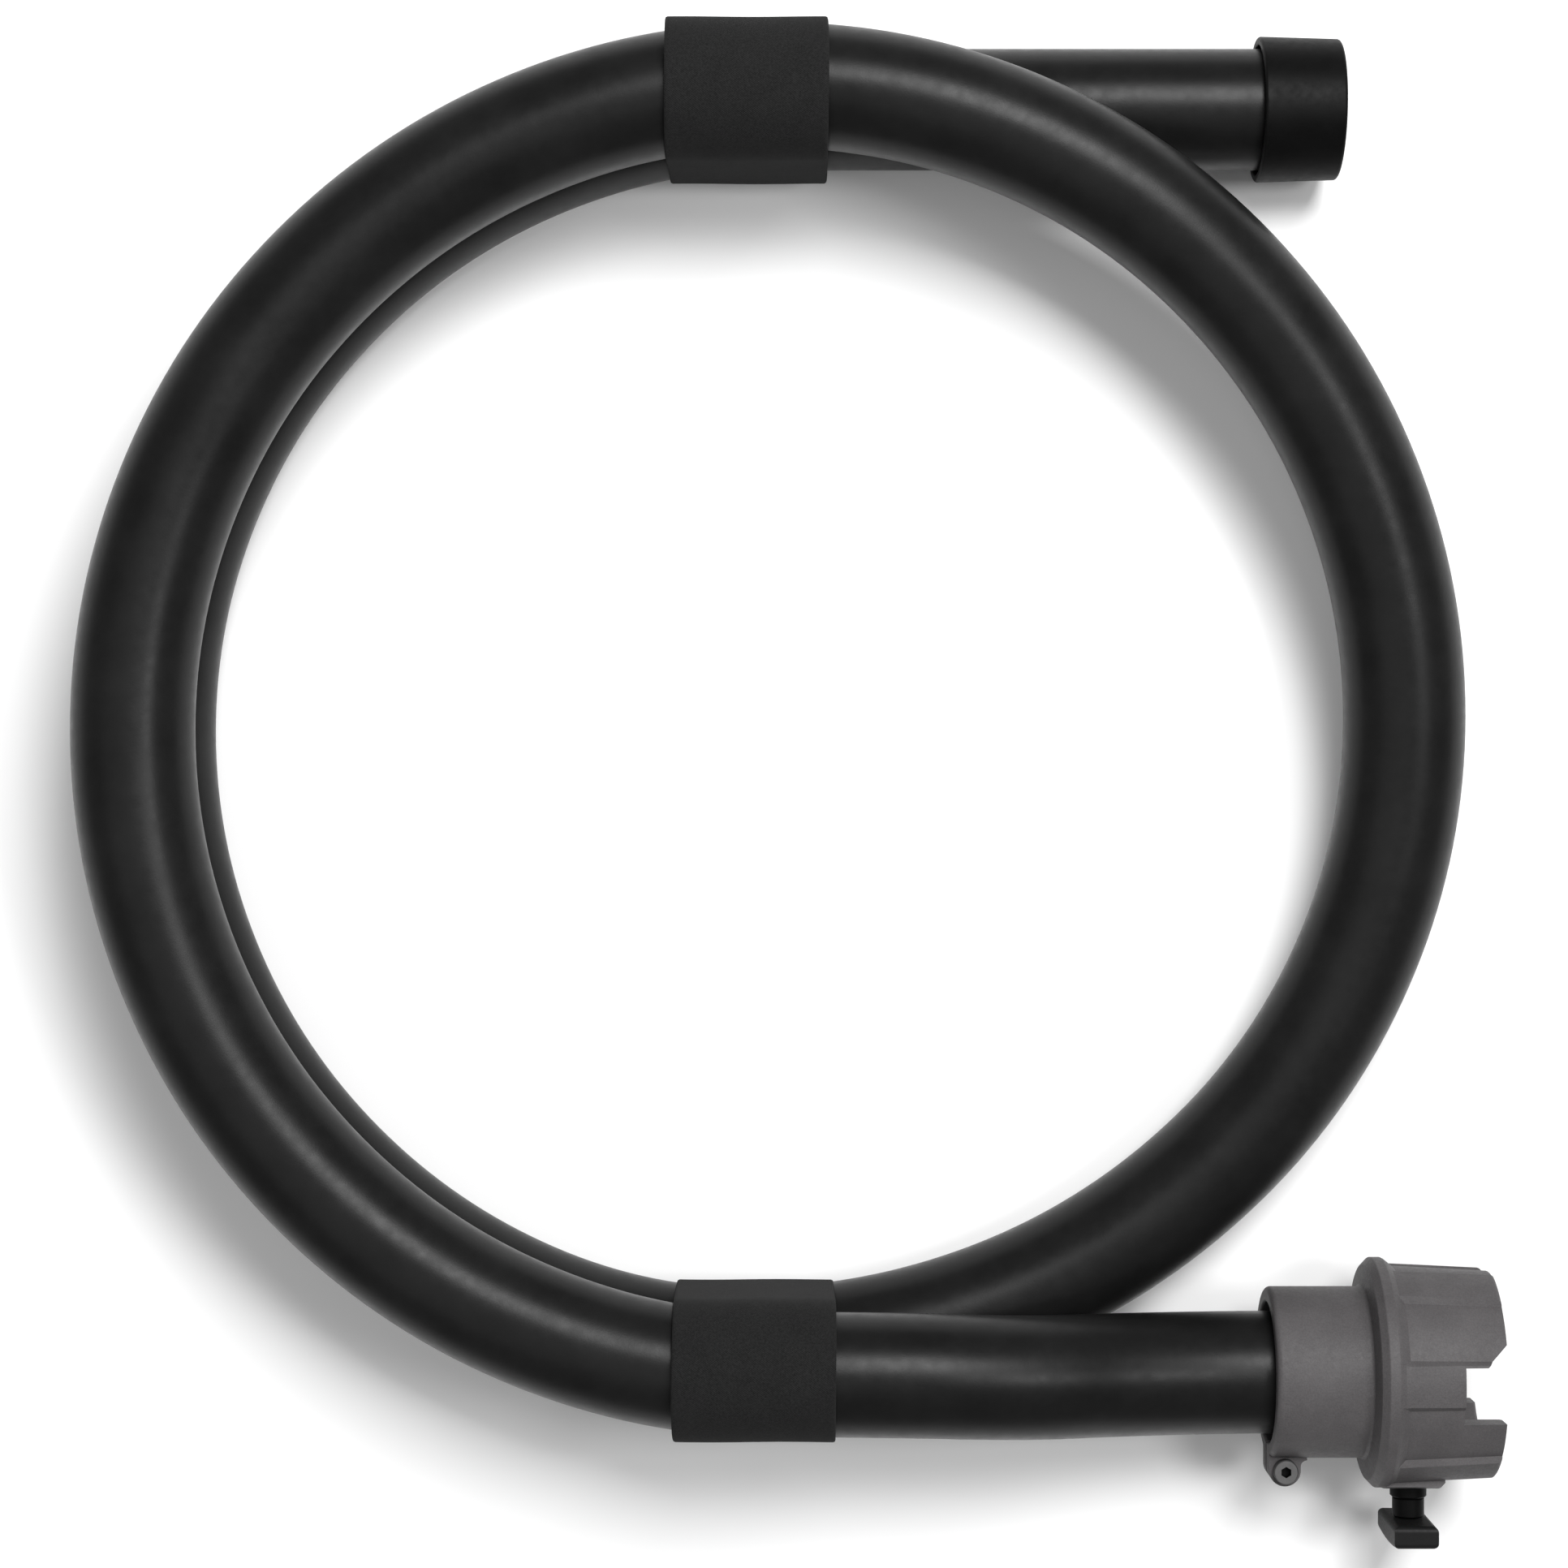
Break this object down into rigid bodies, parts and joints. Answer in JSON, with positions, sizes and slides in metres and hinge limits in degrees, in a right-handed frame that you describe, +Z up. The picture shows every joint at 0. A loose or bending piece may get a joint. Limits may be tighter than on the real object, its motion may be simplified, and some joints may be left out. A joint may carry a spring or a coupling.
{
  "type": "suction hose",
  "caption": "Coiled smooth black suction hose with a split-clamp bayonet coupling, spring lock with T-grip, plain swivel cuff and two wrap straps.",
  "frame": {"origin": "bottom centre of the bounding box, on the surface that the hose lies on", "axes": "+X along the coupling and the cuff, towards their open ends; +Y across the coil from the coupling's side to the cuff's side; +Z up"},
  "size_m": [0.5798, 0.6253, 0.1087],
  "materials": {
    "hose_rubber": "matte",
    "cast_metal": "satin",
    "bare_metal": "satin",
    "seal_rubber": "matte",
    "steel": "satin",
    "black_metal": "satin",
    "knob_plastic": "matte",
    "cuff_rubber": "matte",
    "cuff_plastic": "matte",
    "strap_web": "matte",
    "strap_hook": "matte"
  },
  "bodies": {
    "hose_coil": {"hose": "hose_rubber", "coupling_body": "cast_metal", "hose_spigot": "bare_metal", "clamp_liner": "seal_rubber", "socket_gasket": "seal_rubber", "pinch_screw": "steel", "pinch_nut": "steel", "lock_bush": "black_metal", "jam_nut": "black_metal", "lock_spring": "steel", "cuff_retainer": "cuff_plastic", "cuff_seal": "seal_rubber", "strap_top": "strap_web", "strap_bottom": "strap_web", "strap_top_patch": "strap_hook", "strap_bottom_patch": "strap_hook"},
    "lock_slide": {"spring_washer": "steel"},
    "lock_grip": {"lock_pin": "steel", "lock_knob": "knob_plastic", "cross_pin": "steel"},
    "cuff": {"cuff": "cuff_rubber"}
  },
  "joints": [
    {"name": "lock_pull", "type": "slide", "parent": "hose_coil", "child": "lock_slide", "axis": [0, -1, 0], "range_m": [0, 0.006], "stiffness_N_per_m": 1000, "springref_m": -0.004, "deforming": ["lock_spring"]},
    {"name": "lock_turn", "type": "hinge", "parent": "lock_slide", "child": "lock_grip", "pos_m": [0.2569, -0.2422, 0.047], "axis": [0, -1, 0], "range_deg": [-90, 90]},
    {"name": "cuff_swivel", "type": "hinge", "parent": "hose_coil", "child": "cuff", "pos_m": [0.2134, 0.2827, 0.03], "axis": [1, 0, 0], "continuous": true}
  ]
}
